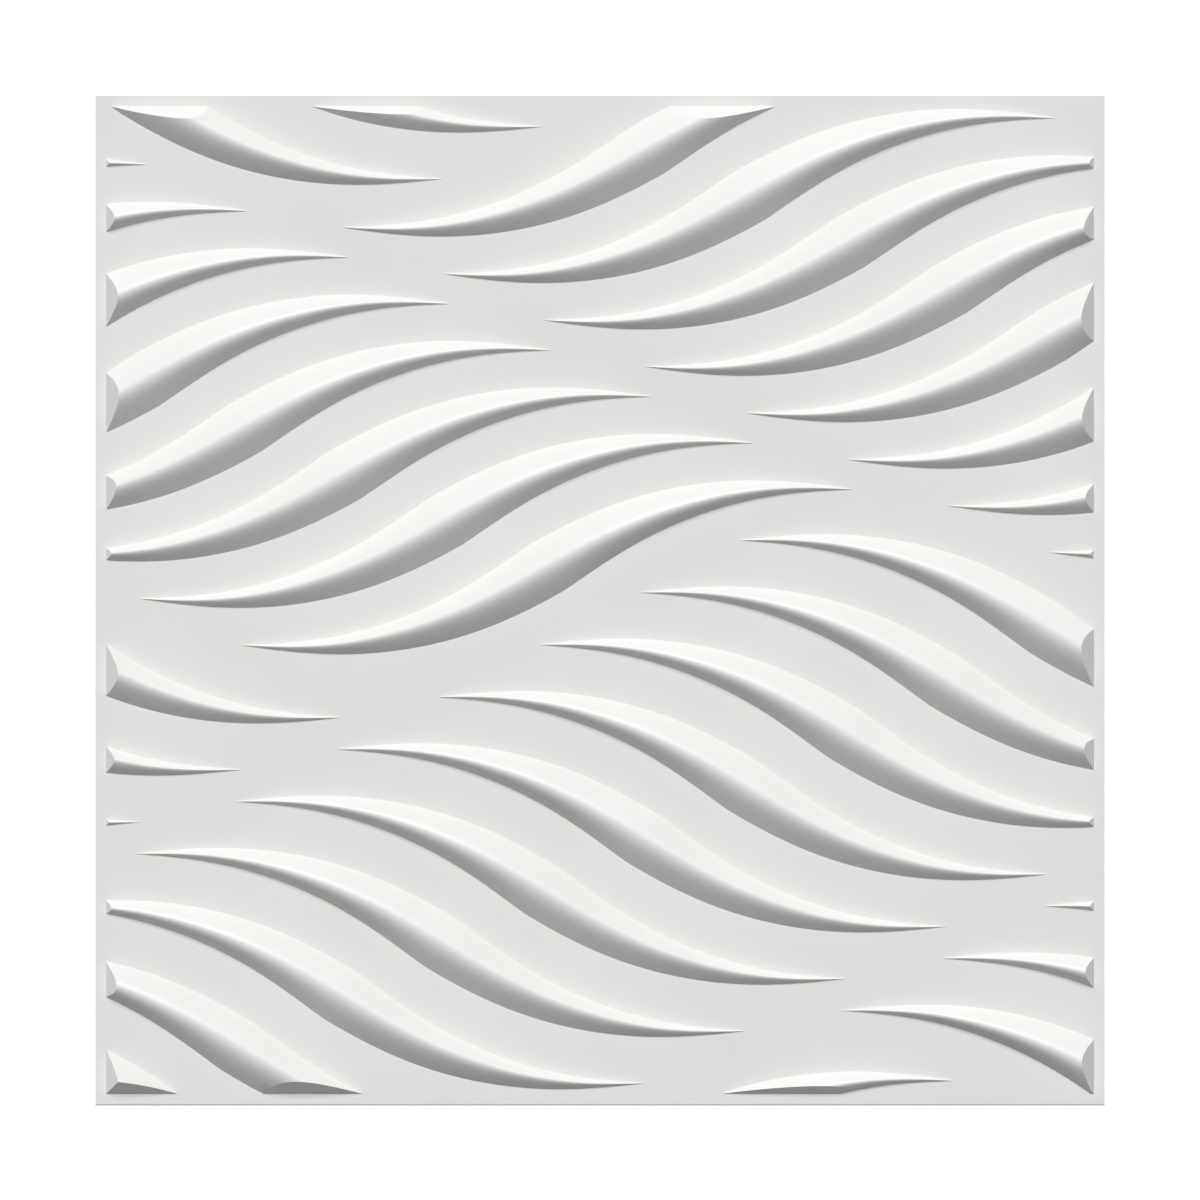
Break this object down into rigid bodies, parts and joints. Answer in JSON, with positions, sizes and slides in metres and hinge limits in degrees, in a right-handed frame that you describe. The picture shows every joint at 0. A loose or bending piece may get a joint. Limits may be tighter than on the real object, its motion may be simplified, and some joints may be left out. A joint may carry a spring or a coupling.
{
  "type": "3d wall panel tile",
  "caption": "Thin square formed-plastic wall panel with S-shaped raised waves in two interlocking families inside a narrow flat rim; hollow behind.",
  "frame": {"origin": "middle of the panel, on the plane of its flat back", "axes": "+Z out of the decorated face, +Y towards the panel's top edge as it hangs on a wall, +X to the right seen from the front"},
  "size_m": [0.5, 0.5, 0.011],
  "materials": {
    "white_pvc": "matt vacuum-formed rigid PVC sheet"
  },
  "bodies": {
    "root": {"wave_panel": "white_pvc"}
  },
  "joints": []
}
